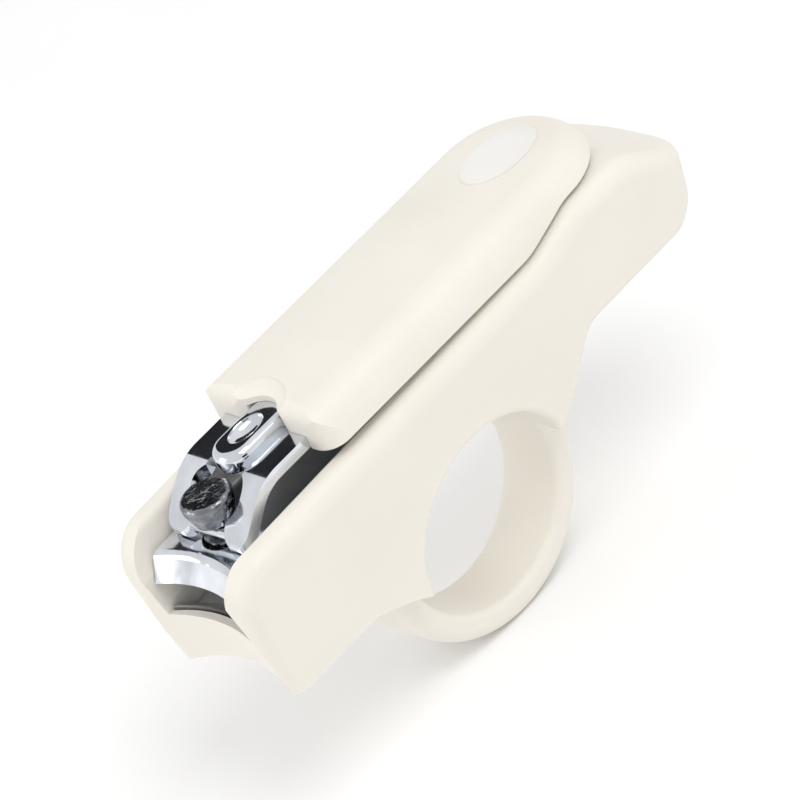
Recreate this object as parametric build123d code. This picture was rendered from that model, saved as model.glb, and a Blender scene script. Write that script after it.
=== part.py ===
from build123d import *
import os
from math import atan2, cos, degrees, hypot, radians, sin, tan

# Small nail clipper carried in a moulded casing with a finger ring.
# Millimetres. +X points to the cutting edges, +Y to the object's left, +Z up to the lever.
# The origin is the centre of the finger ring's bore, whose axis is the Y axis.

# ---- finger ring ----
RING_BORE_R = 10.0
RING_WALL = 2.8
RING_WIDTH = 7.8
RING_RIM_R = 1.3
RING_BORE_RIM_R = 0.7

# ---- jaws ----
JAW_WIDTH = 11.2
JAW_T = 1.4
JAW_LENGTH = 45.9
PIVOT_X = -17.0
PIVOT_Z = 15.7
UPPER_SLOPE = 1.5
LOWER_REAR_SLOPE = 5.8
LOWER_FRONT_SLOPE = 11.6
LOWER_KINK_X = -6.0
EDGE_X = 26.9
EDGE_CONCAVE_R = 14.0
UPPER_EDGE_Z = 13.3
MOUTH = 3.2
LOWER_EDGE_SETBACK = 0.35
EDGE_LAND = 0.2
BLADE_LENGTH = 4.0
BLADE_OVERLAP = 0.5
BLADE_HALF_TURN = 40.0
KNEE_RUN = 1.2
KNEE_SETBACK = 1.0
KNEE_R = 0.9

# ---- rivet and screw at the rear of the jaws ----
RIVET_X = -14.0
RIVET_R = 1.6
RIVET_BORE_R = 1.05
RIVET_FLANGE_R = 2.5
RIVET_FLANGE_T = 0.45
RIVET_UPPER_GAP = 0.35
SEAT_GAP = 0.02
SCREW_R = 0.95
SCREW_HEAD_R = 2.0
SCREW_HEAD_H = 1.0
SCREW_LENGTH = 8.5
SCREW_SLOT_W = 0.5
SCREW_SLOT_DEPTH = 0.5

# ---- post ----
POST_X = 22.3
POST_R = 1.9
POST_HEAD_R = 2.55
POST_HEAD_Z = 20.8
POST_HEAD_T = 0.9
POST_HEAD_ROUND = 0.45
POST_NECK_R = 1.5
POST_NECK_DROP = 0.9
POST_FOOT_R = 2.8
POST_FOOT_T = 0.9
POST_LOWER_GAP = 0.08
POST_UPPER_GAP = 0.4
POST_FOOT_GAP = 0.25

# ---- lever ----
LEVER_T = 1.2
LEVER_WIDTH = 11.0
LEVER_TOP_Z = 21.4
LEVER_REAR_X = -12.0
LEVER_SLOPE = 42.0
LEVER_BEND_R = 5.0
BAR_OFFSET = 1.0
BAR_Z = 17.4
BAR_GAP = 0.12
BAR_INSET = 0.5
KEYHOLE_WIDTH = 6.8
KEYHOLE_LENGTH = 5.0
KEYHOLE_SHIFT = 1.0
KEYHOLE_NECK_W = 5.0
KEYHOLE_NECK_LENGTH = 4.7
PRONG_REACH = 0.7
PRONG_GAP_W = 4.5
PRONG_TIP_R = 1.3
RIB_WIDTH = 4.6
RIB_HEIGHT = 1.3
RIB_LENGTH = 16.0
RIB_ROUND = 0.9
DIMPLE_LENGTH = 4.2
DIMPLE_WIDTH = 2.6
DIMPLE_DEPTH = 0.8
DIMPLE_SETBACK = 3.15

# ---- lever cover ----
COVER_FRONT_X = 13.5
COVER_LENGTH = 43.0
COVER_WIDTH = 17.0
COVER_BOTTOM_Z = 20.0
COVER_SIDE_Z = 24.0
COVER_CROWN = 0.7
COVER_CROWN_R = 40.0
COVER_EDGE_R = 3.3
COVER_FRONT_R = 2.2
COVER_DENT_LENGTH = 3.0
COVER_DENT_WIDTH = 7.6
COVER_DENT_DEPTH = 1.6
COVER_CORNER_R = 2.2
COVER_NOTCH_W = 5.2
COVER_NOTCH_DEPTH = 1.7
COVER_LOBE_R = 2.6
COVER_GROOVE_GAP = 0.03
STUD_R = 1.0
STUD_HEAD_R = 1.6
STUD_HEAD_H = 0.5
STUD_HEAD_ROUND = 0.4
STUDS_X = (-2.0, -8.5)

# ---- badge on the cover ----
BADGE_X = -21.5
BADGE_LENGTH = 9.0
BADGE_WIDTH = 6.0
BADGE_RECESS = 0.5
BADGE_PROUD = 0.12

# ---- casing ----
CHEEK_WALL = 3.0
JAW_SIDE_GAP = 0.2
WALL_FLARE = 8.0
WALL_LEVEL_Z = 12.0
MOUTH_FLARE = 12.0
MOUTH_FLARE_Z = 14.0
CASING_NOSE_X = 29.3
CASING_BASE_Z = 2.8
CASING_LEAN = 2.0
CASING_TOP_GAP = 0.5
CHEEK_TOP_Z = 18.4
CHEEK_CORNER_R = 4.6
CHEEK_INNER_R = 1.0
BODY_TOP_R = 1.7
BODY_BASE_R = 1.0
BODY_BORE_RIM_R = 0.6
SHOULDER_X = -14.3
SHOULDER_RUN = 5.9
SHOULDER_RISE = 1.8
SHOULDER_FLAT = 7.2
SHOULDER_R = 8.0
TAIL_END_X = -36.7
TAIL_CORNER_R = 7.0
TAIL_BASE_Z = 9.2
TAIL_TIP_T = 3.4
TAIL_TIP_Z = 11.6
TAIL_STUB_T = 1.0
TAIL_CHAMFER = 5.5
TAIL_UNDER_R = 5.0
HEEL_TOP_X = -17.2
HEEL_X = -12.3
HEEL_Z = 3.6
HEEL_R = 2.6
HEEL_RING_X = -9.4
HEEL_RING_Z = 1.0
CHIN_RING_X = 9.6
CHIN_RING_Z = -1.2
CHIN_X = 12.2
CHIN_Z = 0.6
CHIN_FRONT_X = 16.8
CHIN_R = 2.2
CROOK_R = 1.0
FINGERTIP_R = 18.0
FINGERTIP_X = 26.5
FINGERTIP_LEAN = 9.0
ARCH_RISE = 1.6
ARCH_RUN = 12.0
CHANNEL_REAR_GAP = 0.6
LIP_DROP = 0.4

# ---- values that follow from the sizes above ----
BODY_WIDTH = JAW_WIDTH + 2 * (JAW_SIDE_GAP + CHEEK_WALL)
CHANNEL_WIDTH = JAW_WIDTH + 2 * JAW_SIDE_GAP
JAW_REAR_X = EDGE_X - JAW_LENGTH
BLADE_AXIS_X = EDGE_X + EDGE_CONCAVE_R
LOWER_EDGE_Z = UPPER_EDGE_Z - MOUTH
BAR_X = POST_X + BAR_OFFSET
LEVER_MID_Z = LEVER_TOP_Z - LEVER_T / 2
COVER_REAR_X = COVER_FRONT_X - COVER_LENGTH
CASING_TOP_Z = COVER_BOTTOM_Z - CASING_TOP_GAP
ABOVE = 40.0
BEYOND = 60.0
OVERCUT = 5.0
TOLERANCE = 0.01


def side_face(edges):
    """Face in the XZ plane from edges drawn as (x, z)."""
    return Plane.XZ * make_face(edges)


def rounded_face(outline):
    """Face in the XZ plane from corners given as (x, z, corner radius)."""
    points = [(x, z) for x, z, _ in outline]
    radii = [r for _, _, r in outline]
    return side_face(FilletPolyline(*points, radius=radii, close=True))


def slab(face, width):
    """Solid of the given width, centred on the XZ plane."""
    return extrude(face, width / 2, both=True)


def upright(radius, x, low, high):
    """Upright cylinder on the object's centre plane."""
    return Pos(x, 0, (low + high) / 2) * Cylinder(radius, high - low)


def upper_jaw_bottom(x):
    return PIVOT_Z - (x - PIVOT_X) * tan(radians(UPPER_SLOPE))


def upper_jaw_top(x):
    return upper_jaw_bottom(x) + JAW_T


def lower_jaw_top(x):
    rear_run = max(0.0, min(x, LOWER_KINK_X) - PIVOT_X)
    front_run = max(0.0, x - LOWER_KINK_X)
    return PIVOT_Z - rear_run * tan(radians(LOWER_REAR_SLOPE)) - front_run * tan(radians(LOWER_FRONT_SLOPE))


def lower_jaw_bottom(x):
    return lower_jaw_top(x) - JAW_T


def jaw_strip(xs, bottom):
    """Straight part of a jaw, ended by an arc about the blade's axis."""
    low = [(x, bottom(x)) for x in xs]
    high = [(x, bottom(x) + JAW_T) for x in reversed(xs)]
    strip = slab(side_face(Polyline(*low, *high, close=True)), JAW_WIDTH)
    reach = EDGE_CONCAVE_R + BLADE_LENGTH - BLADE_OVERLAP
    return strip - upright(reach, BLADE_AXIS_X, 0, ABOVE)


def blade_ring(face):
    """A blade section swept about the upright axis that the concave edge is drawn from."""
    axis = Axis((BLADE_AXIS_X, 0, 0), (0, 0, 1))
    return revolve(face, axis, 2 * BLADE_HALF_TURN).rotate(axis, -BLADE_HALF_TURN)


def blade(edge_x, edge_z, outer, inner):
    """Cutting end of a jaw: a plate that turns at a knee and runs to its edge."""
    root_x = EDGE_X - BLADE_LENGTH
    knee_x = edge_x - KNEE_RUN
    outline = [
        (root_x, outer(root_x), 0),
        (knee_x, outer(knee_x), KNEE_R),
        (edge_x, edge_z, 0),
        (edge_x - EDGE_LAND, edge_z, 0),
        (knee_x - KNEE_SETBACK, inner(knee_x - KNEE_SETBACK), KNEE_R / 2),
        (root_x, inner(root_x), 0),
    ]
    return blade_ring(rounded_face(outline)) & Box(2 * BEYOND, JAW_WIDTH, 2 * BEYOND)


def upper_blade():
    return blade(EDGE_X, UPPER_EDGE_Z, upper_jaw_top, upper_jaw_bottom)


def lower_blade():
    return blade(EDGE_X - LOWER_EDGE_SETBACK, LOWER_EDGE_Z, lower_jaw_bottom, lower_jaw_top)


def upper_jaw():
    jaw = jaw_strip([JAW_REAR_X, EDGE_X], upper_jaw_bottom) + upper_blade()
    jaw -= upright(POST_R + POST_UPPER_GAP, POST_X, 0, ABOVE)
    jaw -= upright(RIVET_R + RIVET_UPPER_GAP, RIVET_X, 0, ABOVE)
    return jaw


def lower_jaw():
    jaw = jaw_strip([JAW_REAR_X, PIVOT_X, LOWER_KINK_X, EDGE_X], lower_jaw_bottom) + lower_blade()
    jaw -= upright(POST_R + POST_LOWER_GAP, POST_X, 0, ABOVE)
    jaw -= upright(RIVET_R, RIVET_X, 0, ABOVE)
    return jaw


def rivet_levels():
    """Heights of the undersides of the rivet's upper flange and the tops of its lower one."""
    high = upper_jaw_top(RIVET_X - RIVET_FLANGE_R) + SEAT_GAP
    low = lower_jaw_bottom(RIVET_X + RIVET_FLANGE_R) - SEAT_GAP
    return low, high


def jaw_rivet():
    low, high = rivet_levels()
    rivet = upright(RIVET_R, RIVET_X, low, high)
    rivet += upright(RIVET_FLANGE_R, RIVET_X, high, high + RIVET_FLANGE_T)
    rivet += upright(RIVET_FLANGE_R, RIVET_X, low - RIVET_FLANGE_T, low)
    return rivet - upright(RIVET_BORE_R, RIVET_X, 0, ABOVE)


def screw_seat_z():
    return rivet_levels()[1] + RIVET_FLANGE_T


def retaining_screw():
    seat = screw_seat_z()
    top = seat + SCREW_HEAD_H
    head = upright(SCREW_HEAD_R, RIVET_X, seat, top)
    head = fillet(head.edges().group_by(Axis.Z)[-1], SCREW_HEAD_H / 2)
    slot = Pos(RIVET_X, 0, top) * Box(3 * SCREW_HEAD_R, SCREW_SLOT_W, 2 * SCREW_SLOT_DEPTH)
    return head + upright(SCREW_R, RIVET_X, seat - SCREW_LENGTH, seat) - slot


def foot_top_z():
    return lower_jaw_bottom(POST_X + POST_FOOT_R) - SEAT_GAP


def post():
    """Pin with a foot under the lower jaw and a notched conical head over the upper one."""
    foot_top = foot_top_z()
    neck_z = BAR_Z - POST_NECK_DROP
    rim_z = POST_HEAD_Z - POST_HEAD_T
    foot = upright(POST_FOOT_R, POST_X, foot_top - POST_FOOT_T, foot_top)
    shaft = upright(POST_R, POST_X, foot_top, neck_z)
    cone = Pos(POST_X, 0, (neck_z + rim_z) / 2) * Cone(POST_NECK_R, POST_HEAD_R, rim_z - neck_z)
    head = upright(POST_HEAD_R, POST_X, rim_z, POST_HEAD_Z)
    head = fillet(head.edges().group_by(Axis.Z)[-1], POST_HEAD_ROUND)
    return foot + shaft + cone + head - bar_space(LEVER_T / 2 + BAR_GAP)


def bar_space(radius):
    """Room for the lever's bar, open to the front."""
    seat = Pos(BAR_X, 0, BAR_Z) * Rot(90, 0, 0) * Cylinder(radius, 3 * POST_HEAD_R)
    mouth = Pos(BAR_X + POST_HEAD_R, 0, BAR_Z) * Box(2 * POST_HEAD_R, 3 * POST_HEAD_R, 2 * radius)
    return seat + mouth


def lever_strip():
    """Lever plate: flat at the rear, bent down towards the bar, with a rounded front end."""
    slope = radians(LEVER_SLOPE)
    drop = LEVER_MID_Z - BAR_Z - LEVER_BEND_R * (1 - cos(slope))
    bend_x = BAR_X - drop / tan(slope) - LEVER_BEND_R * sin(slope)
    flat = Line((LEVER_REAR_X, LEVER_MID_Z), (bend_x, LEVER_MID_Z))
    bend = CenterArc((bend_x, LEVER_MID_Z - LEVER_BEND_R), LEVER_BEND_R, 90, -LEVER_SLOPE)
    front = (BAR_X + PRONG_REACH * cos(slope), BAR_Z - PRONG_REACH * sin(slope))
    ramp = Line(bend @ 1, front)
    outline = Wire([flat, bend, ramp]).offset_2d(LEVER_T / 2, kind=Kind.ARC, side=Side.BOTH)
    return slab(side_face(outline), LEVER_WIDTH) & extrude(lever_plan(), ABOVE)


def lever_plan():
    """Top view of the lever, open where the post's head stands and rounded at the prongs' tips."""
    front = BAR_X + PRONG_REACH * cos(radians(LEVER_SLOPE)) + LEVER_T / 2
    length = front - LEVER_REAR_X + LEVER_T
    plan = Pos(front - length / 2, 0) * Rectangle(length, LEVER_WIDTH) - prong_gap()
    tips = plan.vertices().group_by(Axis.X)[-1]
    return fillet(tips, PRONG_TIP_R) - keyhole()


def prong_gap():
    """Gap between the two prongs, open to the front."""
    return Pos(BAR_X + PRONG_REACH, 0) * Rectangle(2 * KEYHOLE_LENGTH, PRONG_GAP_W)


def keyhole():
    """Opening that the post's head stands in, behind the gap between the prongs."""
    neck_x = BAR_X - KEYHOLE_NECK_LENGTH
    round_x = BAR_X - LEVER_T / 2 - BAR_GAP - KEYHOLE_LENGTH / 2 + KEYHOLE_SHIFT
    eye = Pos(round_x, 0) * Ellipse(KEYHOLE_LENGTH / 2, KEYHOLE_WIDTH / 2)
    neck = Pos((neck_x + round_x) / 2, 0) * Rectangle(round_x - neck_x, KEYHOLE_NECK_W)
    return eye + neck


def lever_rib():
    """Pressed rib behind the keyhole, with a drop-shaped dimple."""
    front = BAR_X - KEYHOLE_NECK_LENGTH + RIB_ROUND
    top = LEVER_TOP_Z + RIB_HEIGHT
    outline = Pos(front - RIB_LENGTH / 2, 0, LEVER_MID_Z) * SlotOverall(RIB_LENGTH, RIB_WIDTH)
    rib = extrude(outline, top - LEVER_MID_Z)
    rib = fillet(rib.edges().group_by(Axis.Z)[-1], RIB_ROUND)
    dimple = scale(Sphere(1), by=(DIMPLE_LENGTH / 2, DIMPLE_WIDTH / 2, DIMPLE_DEPTH))
    return rib - Pos(front - RIB_ROUND - DIMPLE_SETBACK, 0, top) * dimple


def lever():
    body = lever_strip() + lever_rib()
    body += Pos(BAR_X, 0, BAR_Z) * Rot(90, 0, 0) * Cylinder(LEVER_T / 2, LEVER_WIDTH - 2 * BAR_INSET)
    for x in STUDS_X:
        body -= upright(STUD_R, x, 0, ABOVE)
    return body


def shoulder_points(lift):
    """Line of the casing's top under the cover, raised by lift, from the front to the rear."""
    low = CASING_TOP_Z + lift
    high = low + SHOULDER_RISE
    rear = SHOULDER_X - SHOULDER_RUN
    return [(SHOULDER_X, low), (rear, high)]


def cover_plan():
    """Front edge with a notch between two lobes; the rear end is left long."""
    half = COVER_WIDTH / 2
    outline = [(COVER_FRONT_X, -half), (COVER_FRONT_X, half), (-BEYOND, half), (-BEYOND, -half)]
    radii = [COVER_CORNER_R, COVER_CORNER_R, 0, 0]
    plan = make_face(FilletPolyline(*outline, radius=radii, close=True))
    centre_x = COVER_FRONT_X - COVER_NOTCH_DEPTH + COVER_NOTCH_W / 2
    plan -= Pos(centre_x, 0) * Circle(COVER_NOTCH_W / 2)
    lobes = plan.vertices().group_by(Axis.X)[-1].sort_by(Axis.Y)[1:-1]
    return fillet(lobes, COVER_LOBE_R)


def cover_section(proud):
    """Cross-section drawn as (y, z): a low crown between two well rounded edges."""
    half = COVER_WIDTH / 2
    under = COVER_BOTTOM_Z - OVERCUT
    side = COVER_SIDE_Z + proud
    outline = [(-half, under), (-half, side), (0, side + COVER_CROWN), (half, side), (half, under)]
    radii = [0, COVER_EDGE_R, COVER_CROWN_R, COVER_EDGE_R, 0]
    return make_face(FilletPolyline(*outline, radius=radii, close=True))


def cover_bar(proud):
    """The section run along the lever and swept round the rear end, raised by proud."""
    half = COVER_WIDTH / 2
    end_x = COVER_REAR_X + half
    section = cover_section(proud)
    right = section & Pos(half, 0) * Rectangle(2 * half, 2 * ABOVE)
    straight = extrude(Plane.YZ.offset(end_x) * section, COVER_FRONT_X + OVERCUT - end_x)
    turned = revolve(Plane.YZ.offset(end_x) * right, Axis((end_x, 0, 0), (0, 0, 1)), 180)
    return straight + turned


def cover_blank():
    """Cover before its underside is cut, with its upper front edge rounded in side view."""
    top = COVER_SIDE_Z + COVER_CROWN
    outline = [
        (COVER_FRONT_X, 0, 0),
        (COVER_FRONT_X, top, COVER_FRONT_R),
        (2 * COVER_REAR_X, top, 0),
        (2 * COVER_REAR_X, 0, 0),
    ]
    bar = cover_bar(0) & slab(rounded_face(outline), 2 * COVER_WIDTH)
    blank = bar & extrude(Pos(0, 0, COVER_BOTTOM_Z - OVERCUT) * cover_plan(), ABOVE)
    dent = scale(Sphere(1), by=(COVER_DENT_LENGTH, COVER_DENT_WIDTH / 2, COVER_DENT_DEPTH))
    return blank - Pos(COVER_FRONT_X, 0, top) * dent


def above_shoulders(lift):
    """Everything over the line of the casing's top, raised by lift."""
    line = shoulder_points(lift)
    low = line[0][1]
    high = line[1][1]
    points = [(BEYOND, low), *line, (-BEYOND, high), (-BEYOND, ABOVE), (BEYOND, ABOVE)]
    radii = [0, SHOULDER_R, SHOULDER_R, 0, 0, 0]
    return slab(side_face(FilletPolyline(*points, radius=radii, close=True)), BEYOND)


def lever_groove():
    """Room in the cover for the lever plate and its rib."""
    rear = LEVER_REAR_X - LEVER_T / 2 - COVER_GROOVE_GAP
    length = COVER_FRONT_X + OVERCUT - rear
    plate_top = LEVER_TOP_Z + COVER_GROOVE_GAP
    rib_top = plate_top + RIB_HEIGHT
    rib_rear = BAR_X - KEYHOLE_NECK_LENGTH + RIB_ROUND - RIB_LENGTH - COVER_GROOVE_GAP
    middle = rear + length / 2
    plate = Pos(middle, 0, plate_top / 2) * Box(length, LEVER_WIDTH + 2 * COVER_GROOVE_GAP, plate_top)
    rib_run = rear + length - rib_rear
    rib_room = Box(rib_run, RIB_WIDTH + 2 * COVER_GROOVE_GAP, rib_top)
    return plate + Pos(rib_rear + rib_run / 2, 0, rib_top / 2) * rib_room


def stud(x):
    """Moulded stud through the lever plate with a headed end."""
    under = LEVER_TOP_Z - LEVER_T
    shank = upright(STUD_R, x, under, COVER_SIDE_Z - STUD_R)
    head = upright(STUD_HEAD_R, x, under - STUD_HEAD_H, under)
    return shank + fillet(head.edges().group_by(Axis.Z)[0], STUD_HEAD_ROUND)


def badge_seat():
    """Oval recess in the cover's crown."""
    top = COVER_SIDE_Z + COVER_CROWN
    oval = Pos(BADGE_X, 0, top - BADGE_RECESS) * Ellipse(BADGE_LENGTH / 2, BADGE_WIDTH / 2)
    return extrude(oval, ABOVE)


def lever_cover():
    cover = cover_blank() & above_shoulders(CASING_TOP_GAP)
    cover -= lever_groove()
    for x in STUDS_X:
        cover += stud(x)
    return cover - badge_seat()


def cover_badge():
    """Blank oval badge that stands a little proud of the crown."""
    return badge_seat() & cover_bar(BADGE_PROUD)


def casing_side():
    """Side view of the casing's body, without the finger ring; the tail's end is left long."""
    front = CASING_NOSE_X
    foot_x = front - (CHEEK_TOP_Z - CASING_BASE_Z) * tan(radians(CASING_LEAN))
    line = shoulder_points(0)
    high = line[1][1]
    flat_end = line[1][0] - SHOULDER_FLAT
    tip_top = TAIL_TIP_Z + TAIL_TIP_T
    tail_fall = (high - tip_top) / (flat_end - TAIL_END_X)
    overrun = (TAIL_TIP_T - TAIL_STUB_T) / tail_fall
    outline = [
        (foot_x, CASING_BASE_Z, 0),
        (front, CHEEK_TOP_Z, CHEEK_CORNER_R),
        (*line[0], SHOULDER_R),
        (*line[1], SHOULDER_R),
        (flat_end, high, TAIL_UNDER_R),
        (TAIL_END_X - overrun, TAIL_TIP_Z + TAIL_STUB_T, 0),
        (TAIL_END_X - overrun, TAIL_TIP_Z, 0),
        (TAIL_END_X, TAIL_TIP_Z, 0),
        (TAIL_END_X + TAIL_CHAMFER, TAIL_BASE_Z, TAIL_UNDER_R),
        (HEEL_TOP_X, TAIL_BASE_Z, HEEL_R),
        (HEEL_X, HEEL_Z, CROOK_R),
        (HEEL_RING_X, HEEL_RING_Z, 0),
        (CHIN_RING_X, CHIN_RING_Z, 0),
        (CHIN_X, CHIN_Z, CROOK_R),
        (CHIN_FRONT_X, CASING_BASE_Z, CHIN_R),
    ]
    return rounded_face(outline)


def casing_plan():
    """Top view of the casing's body at WALL_LEVEL_Z."""
    half = BODY_WIDTH / 2
    outline = [(BEYOND, half), (TAIL_END_X, half), (TAIL_END_X, -half), (BEYOND, -half)]
    return make_face(FilletPolyline(*outline, radius=[0, TAIL_CORNER_R, TAIL_CORNER_R, 0], close=True))


def flared_block():
    """The top view stretched upwards between walls that lean outwards."""
    sink = WALL_LEVEL_Z + OVERCUT
    low_plan = offset(casing_plan(), -sink * tan(radians(WALL_FLARE)), kind=Kind.INTERSECTION)
    return extrude(Pos(0, 0, WALL_LEVEL_Z - sink) * low_plan, ABOVE, taper=-WALL_FLARE)


def fingertip_rest():
    """Hollow in the casing's front for the other hand's fingertip."""
    tool = upright(FINGERTIP_R, 0, -BEYOND, BEYOND)
    return Pos(FINGERTIP_X + FINGERTIP_R, 0, CASING_BASE_Z) * Rot(0, FINGERTIP_LEAN, 0) * tool


def base_arch():
    """Shallow arch across the underside that fades out behind the front edge."""
    half = BODY_WIDTH / 2
    arch_r = (half * half + ARCH_RISE * ARCH_RISE) / (2 * ARCH_RISE)
    tool = Pos(0, 0, -arch_r) * Rot(0, 90, 0) * Cylinder(arch_r, 2 * ARCH_RUN)
    tilt = degrees(atan2(ARCH_RISE, ARCH_RUN))
    return Pos(CASING_NOSE_X, 0, CASING_BASE_Z + ARCH_RISE) * Rot(0, -tilt, 0) * tool


def channel_mouth():
    """Upper part of the channel: inner faces that lean outwards and round over at the cheeks' tops."""
    slope = (CASING_TOP_Z - CHEEK_TOP_Z) / (CASING_NOSE_X - SHOULDER_X)
    rear = JAW_REAR_X - CHANNEL_REAR_GAP
    rear_z = CASING_TOP_Z + (SHOULDER_X - rear) * slope + SEAT_GAP
    depth = CHEEK_TOP_Z - MOUTH_FLARE_Z
    foot = CHANNEL_WIDTH / 2
    brow = foot + depth * tan(radians(MOUTH_FLARE))
    lip = brow + CHEEK_INNER_R
    right = [(foot, -depth, 0), (brow, 0, CHEEK_INNER_R), (lip, 0, 0), (lip, CHEEK_TOP_Z, 0)]
    left = [(-y, z, r) for y, z, r in reversed(right)]
    points = [(y, z) for y, z, _ in right + left]
    radii = [r for _, _, r in right + left]
    section = make_face(FilletPolyline(*points, radius=radii, close=True))
    along = Plane(origin=(rear, 0, rear_z), x_dir=(0, 1, 0), z_dir=(1, 0, -slope))
    return extrude(along * section, EDGE_X + 2 * BLADE_LENGTH - rear)


def jaw_channel():
    """Room for the jaws between the cheeks, open to the top and the front."""
    xs = [JAW_REAR_X - CHANNEL_REAR_GAP, PIVOT_X, LOWER_KINK_X, EDGE_X]
    low = [(x, lower_jaw_bottom(x) - SEAT_GAP) for x in xs]
    floor = slab(side_face(Polyline(*low, (xs[-1], ABOVE), (xs[0], ABOVE), close=True)), CHANNEL_WIDTH)
    floor -= upright(EDGE_CONCAVE_R + BLADE_LENGTH - BLADE_OVERLAP, BLADE_AXIS_X, 0, ABOVE + OVERCUT)
    root_x = EDGE_X - BLADE_LENGTH
    edge_x = EDGE_X - LOWER_EDGE_SETBACK + SEAT_GAP
    knee_x = edge_x - KNEE_RUN
    lip_x = EDGE_X + 2 * BLADE_LENGTH
    over_blade = [
        (root_x, lower_jaw_bottom(root_x) - SEAT_GAP, 0),
        (knee_x, lower_jaw_bottom(knee_x) - SEAT_GAP, KNEE_R),
        (edge_x, LOWER_EDGE_Z - LIP_DROP, 0),
        (lip_x, LOWER_EDGE_Z - LIP_DROP, 0),
        (lip_x, ABOVE, 0),
        (root_x, ABOVE, 0),
    ]
    room = floor + (blade_ring(rounded_face(over_blade)) & Box(2 * BEYOND, CHANNEL_WIDTH, 2 * BEYOND))
    return room + channel_mouth()


def finger_ring():
    """Round ring with a bore wall between its rounded rims."""
    outer = RING_BORE_R + RING_WALL
    rim = fillet(Cylinder(outer, RING_WIDTH).edges().filter_by(GeomType.CIRCLE), RING_RIM_R)
    ring = rim - Cylinder(RING_BORE_R, RING_WIDTH)
    bore = ring.faces().filter_by(GeomType.CYLINDER).sort_by(SortBy.RADIUS)[0]
    ring = fillet(bore.edges().filter_by(GeomType.CIRCLE), RING_BORE_RIM_R)
    return Rot(90, 0, 0) * ring


def pockets():
    """Sinkings in the channel's floor for the post's foot, the rivet's flange and the screw."""
    foot_bottom = foot_top_z() - POST_FOOT_T
    tools = upright(POST_FOOT_R + POST_FOOT_GAP, POST_X, foot_bottom - POST_FOOT_GAP, ABOVE)
    flange_bottom = rivet_levels()[0] - RIVET_FLANGE_T
    tools += upright(RIVET_FLANGE_R + POST_FOOT_GAP, RIVET_X, flange_bottom, ABOVE)
    tip = screw_seat_z() - SCREW_LENGTH
    return tools + upright(SCREW_R, RIVET_X, tip, ABOVE)


def tail_rim(body, upper):
    """Edges round the tail, over or under its tip; each runs on along the whole body."""
    middle = TAIL_TIP_Z + TAIL_TIP_T / 2
    behind = SHOULDER_X - SHOULDER_RUN - SHOULDER_FLAT / 2
    edges = body.edges().filter_by(Axis.Z, reverse=True)
    edges = edges.filter_by(lambda e: e.center().X < behind)
    end_x = TAIL_END_X + SEAT_GAP
    edges = edges.filter_by(lambda e: abs((e % 0.5).Y) < 1 - TOLERANCE or e.center().X < end_x)
    return edges.filter_by(lambda e: (e.center().Z > middle) == upper)


def casing_body():
    """Outer shape without the ring: the side view and the top view together, with rounded edges."""
    body = slab(casing_side(), BEYOND) & flared_block()
    body = fillet(tail_rim(body, True), BODY_TOP_R)
    return fillet(tail_rim(body, False), BODY_BASE_R)


def bore_rims(body):
    """Edges where the ring's bore leaves the casing's two sides."""

    def on_bore(edge):
        middle = edge @ 0.5
        return abs(hypot(middle.X, middle.Z) - RING_BORE_R) < TOLERANCE and abs(middle.Y) > RING_WIDTH / 2

    return body.edges().filter_by(on_bore)


def casing():
    body = casing_body() - fingertip_rest()
    body -= Rot(90, 0, 0) * Cylinder(RING_BORE_R, BEYOND)
    body = fillet(bore_rims(body), BODY_BORE_RIM_R)
    body += finger_ring()
    body -= base_arch()
    return body - jaw_channel() - pockets()


NODES = {
    "casing": casing,
    "lower_jaw": lower_jaw,
    "upper_jaw": upper_jaw,
    "jaw_rivet": jaw_rivet,
    "retaining_screw": retaining_screw,
    "post": post,
    "lever": lever,
    "lever_cover": lever_cover,
    "cover_badge": cover_badge,
}

os.makedirs("parts", exist_ok=True)
for name, make in NODES.items():
    export_step(make(), f"parts/{name}.step")
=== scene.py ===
"""Looks of the nail clipper: materials, floor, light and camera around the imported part."""

import math
import bpy
from mathutils import Matrix, Vector


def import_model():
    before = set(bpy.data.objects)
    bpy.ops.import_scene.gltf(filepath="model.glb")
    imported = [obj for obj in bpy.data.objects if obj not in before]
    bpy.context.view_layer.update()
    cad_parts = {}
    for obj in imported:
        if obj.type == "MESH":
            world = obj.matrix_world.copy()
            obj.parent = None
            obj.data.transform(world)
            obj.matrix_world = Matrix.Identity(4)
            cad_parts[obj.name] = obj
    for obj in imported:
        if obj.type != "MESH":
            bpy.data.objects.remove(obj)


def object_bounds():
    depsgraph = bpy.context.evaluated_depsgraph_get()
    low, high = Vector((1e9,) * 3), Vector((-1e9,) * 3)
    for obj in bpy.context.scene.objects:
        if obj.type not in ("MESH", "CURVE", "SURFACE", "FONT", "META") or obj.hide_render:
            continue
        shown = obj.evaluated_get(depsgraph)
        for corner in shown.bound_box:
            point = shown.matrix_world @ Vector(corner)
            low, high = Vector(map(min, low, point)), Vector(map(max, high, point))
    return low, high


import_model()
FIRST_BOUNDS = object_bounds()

MM = 0.001

# ---- colours, linear RGB ----
CREAM = (0.84, 0.805, 0.735)
CREAM_SHADE = (0.815, 0.775, 0.70)
PEARL = (0.90, 0.89, 0.86)
PEARL_SHADE = (0.82, 0.80, 0.76)
CHROME = (0.85, 0.88, 0.93)
CHROME_SHADE = (0.66, 0.69, 0.74)
DARK_CHROME = (0.46, 0.47, 0.50)
DARK_CHROME_SHADE = (0.10, 0.105, 0.115)
STEEL = (0.62, 0.63, 0.65)
STEEL_SHADE = (0.42, 0.43, 0.45)
FLOOR = (0.96, 0.96, 0.96)
FLOOR_SHADE = 0.98
CARD_BLACK = (0.01, 0.01, 0.012, 1)

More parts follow.
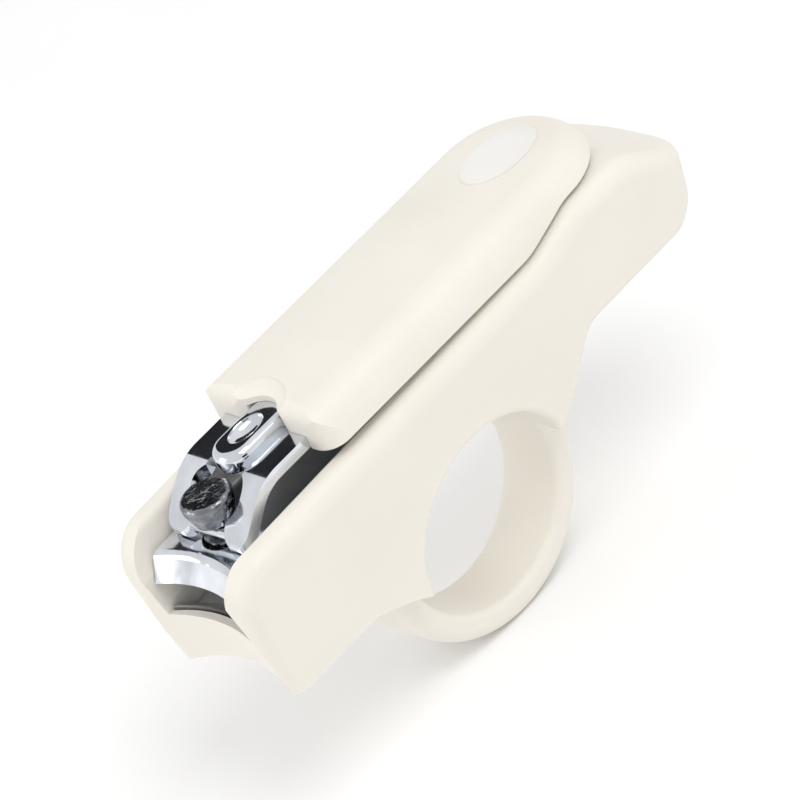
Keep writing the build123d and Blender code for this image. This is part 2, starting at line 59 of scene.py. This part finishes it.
# ---- textures: noise scales are per metre ----
PLASTIC_CLOUD_SCALE = 90
PLASTIC_GRAIN_SCALE = 5200
PLASTIC_GRAIN_DEPTH = 0.01 * MM
PLASTIC_IOR = 1.48
PLASTIC_GLOW = 0.12
PLASTIC_GLOW_RADIUS = (1.0, 0.8, 0.6)
PLASTIC_GLOW_DEPTH = 0.8 * MM
PLASTIC_ROUGHNESS_SPREAD = 0.1
METAL_PATCH_SCALE = 260
METAL_LINE_SCALE = 900
METAL_LINE_DEPTH = 0.01 * MM
POST_GRAIN_SCALE = 650
POST_GRAIN_DEPTH = 0.35 * MM
FLOOR_TONE_SCALE = 40

# ---- stage, metres and watts ----
FLOOR_SIZE = 2.0
SKY_STRENGTH = 0.82
KEY_PLACE = (-0.05, 0.25, 0.50)
KEY_SIZE = 0.30
KEY_WATTS = 1.0
FILL_PLACE = (0.40, -0.22, 0.16)
FILL_SIZE = 0.26
FILL_WATTS = 0.36

# ---- camera, found by fitting the part's outline to the photo's ----
CAMERA_AZIMUTH = 149.4
CAMERA_ELEVATION = 33.4
CAMERA_ROLL = -27.3
CAMERA_DISTANCE = 485 * MM
CAMERA_TARGET = Vector((-4, 0, 8)) * MM
FRAME_WIDTH = 73.9 * MM
TARGET_OFF_CENTRE = (4.2 * MM, -0.9 * MM)
SENSOR = 36.0


def new_material(name):
    """Empty node material with a Principled shader."""
    material = bpy.data.materials.new(name)
    material.use_nodes = True
    nodes = material.node_tree.nodes
    return material, nodes, material.node_tree.links, nodes["Principled BSDF"]


def noise(nodes, links, scale, detail, stretch=(1, 1, 1)):
    """Noise in the object's own metres, so that it stays with the piece."""
    coords = nodes.new("ShaderNodeTexCoord")
    mapping = nodes.new("ShaderNodeMapping")
    mapping.inputs["Scale"].default_value = stretch
    texture = nodes.new("ShaderNodeTexNoise")
    texture.inputs["Scale"].default_value = scale
    texture.inputs["Detail"].default_value = detail
    links.new(coords.outputs["Object"], mapping.inputs["Vector"])
    links.new(mapping.outputs["Vector"], texture.inputs["Vector"])
    return texture.outputs["Fac"]


def ramp(nodes, links, source, low, high, start=0.3, end=0.7):
    """Source turned into a blend between two colours."""
    node = nodes.new("ShaderNodeValToRGB")
    node.color_ramp.elements[0].position = start
    node.color_ramp.elements[0].color = (*low, 1)
    node.color_ramp.elements[1].position = end
    node.color_ramp.elements[1].color = (*high, 1)
    links.new(source, node.inputs["Fac"])
    return node.outputs["Color"]


def span(nodes, links, source, low, high):
    """Source stretched to run from low to high."""
    node = nodes.new("ShaderNodeMapRange")
    node.inputs["From Min"].default_value = 0.3
    node.inputs["From Max"].default_value = 0.7
    node.inputs["To Min"].default_value = low
    node.inputs["To Max"].default_value = high
    links.new(source, node.inputs["Value"])
    return node.outputs["Result"]


def bump(nodes, links, source, strength, distance):
    """Source used as the height of a relief."""
    node = nodes.new("ShaderNodeBump")
    node.inputs["Strength"].default_value = strength
    node.inputs["Distance"].default_value = distance
    links.new(source, node.inputs["Height"])
    return node.outputs["Normal"]


def plastic(name, colour, shade, roughness, grain):
    """Moulded plastic: cloudy tone, satin sheen and a fine spark-eroded grain."""
    material, nodes, links, shader = new_material(name)
    cloud = noise(nodes, links, PLASTIC_CLOUD_SCALE, 3)
    fine = noise(nodes, links, PLASTIC_GRAIN_SCALE, 2)
    links.new(ramp(nodes, links, cloud, shade, colour), shader.inputs["Base Color"])
    rough = span(nodes, links, cloud, roughness, roughness + PLASTIC_ROUGHNESS_SPREAD)
    links.new(rough, shader.inputs["Roughness"])
    links.new(bump(nodes, links, fine, grain, PLASTIC_GRAIN_DEPTH), shader.inputs["Normal"])
    shader.inputs["IOR"].default_value = PLASTIC_IOR
    shader.inputs["Subsurface Weight"].default_value = PLASTIC_GLOW
    shader.inputs["Subsurface Radius"].default_value = PLASTIC_GLOW_RADIUS
    shader.inputs["Subsurface Scale"].default_value = PLASTIC_GLOW_DEPTH
    return material


def metal(
    name, colour, shade, roughness, stretch, ripple, grain=METAL_LINE_SCALE, depth=METAL_LINE_DEPTH
):
    """Plated steel: patchy tone, polish lines along one axis and a faint ripple."""
    material, nodes, links, shader = new_material(name)
    patch = noise(nodes, links, METAL_PATCH_SCALE, 3)
    lines = noise(nodes, links, grain, 4, stretch)
    links.new(ramp(nodes, links, patch, shade, colour), shader.inputs["Base Color"])
    links.new(span(nodes, links, lines, roughness, roughness * 2), shader.inputs["Roughness"])
    links.new(bump(nodes, links, lines, ripple, depth), shader.inputs["Normal"])
    shader.inputs["Metallic"].default_value = 1.0
    return material


ALONG = (0.15, 2, 1)
EVEN = (1, 1, 1)
LOOKS = {
    "casing_plastic": plastic("casing_plastic", CREAM, CREAM_SHADE, 0.42, 0.25),
    "cover_plastic": plastic("cover_plastic", CREAM, CREAM_SHADE, 0.38, 0.2),
    "badge_gloss": plastic("badge_gloss", PEARL, PEARL_SHADE, 0.14, 0.05),
    "jaw_steel": metal("jaw_steel", CHROME, CHROME_SHADE, 0.08, ALONG, 0.2),
    "lever_steel": metal("lever_steel", CHROME, CHROME_SHADE, 0.06, ALONG, 0.12),
    "post_steel": metal(
        "post_steel", DARK_CHROME, DARK_CHROME_SHADE, 0.12, EVEN, 1.0, POST_GRAIN_SCALE, POST_GRAIN_DEPTH
    ),
    "rivet_steel": metal("rivet_steel", STEEL, STEEL_SHADE, 0.22, EVEN, 0.3),
    "screw_steel": metal("screw_steel", STEEL, STEEL_SHADE, 0.26, EVEN, 0.3),
}
SLOT_OF = {
    "casing": "casing_plastic",
    "lower_jaw": "jaw_steel",
    "upper_jaw": "jaw_steel",
    "jaw_rivet": "rivet_steel",
    "retaining_screw": "screw_steel",
    "post": "post_steel",
    "lever": "lever_steel",
    "lever_cover": "cover_plastic",
    "cover_badge": "badge_gloss",
}


def dress(node_name, slot_name):
    """Give a CAD node its material."""
    piece = bpy.data.objects[node_name]
    for place in piece.material_slots:
        place.material = LOOKS[slot_name]
    if not piece.material_slots:
        piece.data.materials.append(LOOKS[slot_name])


for node_name, slot_name in SLOT_OF.items():
    dress(node_name, slot_name)


def floor():
    """Pale sheet under the finger ring."""
    low = FIRST_BOUNDS[0][2]
    bpy.ops.mesh.primitive_plane_add(size=FLOOR_SIZE, location=(0, 0, low))
    sheet = bpy.context.object
    sheet.name = "floor"
    material, nodes, links, shader = new_material("floor_paper")
    tone = noise(nodes, links, FLOOR_TONE_SCALE, 2)
    shade = tuple(FLOOR_SHADE * value for value in FLOOR)
    links.new(ramp(nodes, links, tone, shade, FLOOR), shader.inputs["Base Color"])
    shader.inputs["Roughness"].default_value = 0.9
    sheet.data.materials.append(material)


def area_light(name, place, size, watts):
    """Square soft light aimed at the part."""
    data = bpy.data.lights.new(name, "AREA")
    data.shape = "SQUARE"
    data.size = size
    data.energy = watts
    lamp = bpy.data.objects.new(name, data)
    bpy.context.collection.objects.link(lamp)
    lamp.location = Vector(place)
    aim = CAMERA_TARGET - lamp.location
    lamp.rotation_euler = aim.to_track_quat("-Z", "Y").to_euler()


def dark_card(name, place, width, height):
    """Black card that only mirrors see: it gives the polished steel its dark reflections."""
    bpy.ops.mesh.primitive_plane_add(size=1.0, location=place)
    card = bpy.context.object
    card.name = name
    card.scale = (width, height, 1)
    aim = CAMERA_TARGET - card.location
    card.rotation_euler = aim.to_track_quat("Z", "Y").to_euler()
    card.visible_camera = False
    card.visible_diffuse = False
    card.visible_shadow = False
    card.visible_transmission = False
    material, _, _, shader = new_material(name + "_black")
    shader.inputs["Base Color"].default_value = CARD_BLACK
    shader.inputs["Roughness"].default_value = 1.0
    card.data.materials.append(material)


def camera():
    """Camera at the photo's angle, moved in its own plane so that the part sits as in the photo."""
    azimuth = math.radians(CAMERA_AZIMUTH)
    elevation = math.radians(CAMERA_ELEVATION)
    roll = math.radians(CAMERA_ROLL)
    flat = math.cos(elevation)
    back = Vector((math.sin(azimuth) * flat, -math.cos(azimuth) * flat, math.sin(elevation)))
    side = Vector((0, 0, 1)).cross(back).normalized()
    over = back.cross(side)
    right = math.cos(roll) * side + math.sin(roll) * over
    up = math.cos(roll) * over - math.sin(roll) * side
    place = CAMERA_TARGET + CAMERA_DISTANCE * back
    place -= TARGET_OFF_CENTRE[0] * right
    place -= TARGET_OFF_CENTRE[1] * up
    data = bpy.data.cameras.new("camera")
    data.sensor_width = SENSOR
    data.lens = SENSOR * CAMERA_DISTANCE / FRAME_WIDTH
    data.dof.use_dof = False
    data.clip_start = 0.01
    eye = bpy.data.objects.new("camera", data)
    bpy.context.collection.objects.link(eye)
    turn = Matrix((right, up, back)).transposed().to_4x4()
    eye.matrix_world = Matrix.Translation(place) @ turn
    bpy.context.scene.camera = eye


def world():
    """Even white surround, shown without the default tone curve, which would grey it."""
    sky = bpy.data.worlds.new("surround")
    sky.use_nodes = True
    background = sky.node_tree.nodes["Background"]
    background.inputs["Color"].default_value = (1, 1, 1, 1)
    background.inputs["Strength"].default_value = SKY_STRENGTH
    bpy.context.scene.world = sky
    bpy.context.scene.view_settings.view_transform = "Standard"


floor()
world()
area_light("key", KEY_PLACE, KEY_SIZE, KEY_WATTS)
area_light("fill", FILL_PLACE, FILL_SIZE, FILL_WATTS)
dark_card("card_behind", (-0.20, -0.30, 0.22), 0.34, 0.30)
dark_card("card_side", (0.10, 0.40, 0.10), 0.20, 0.16)
camera()
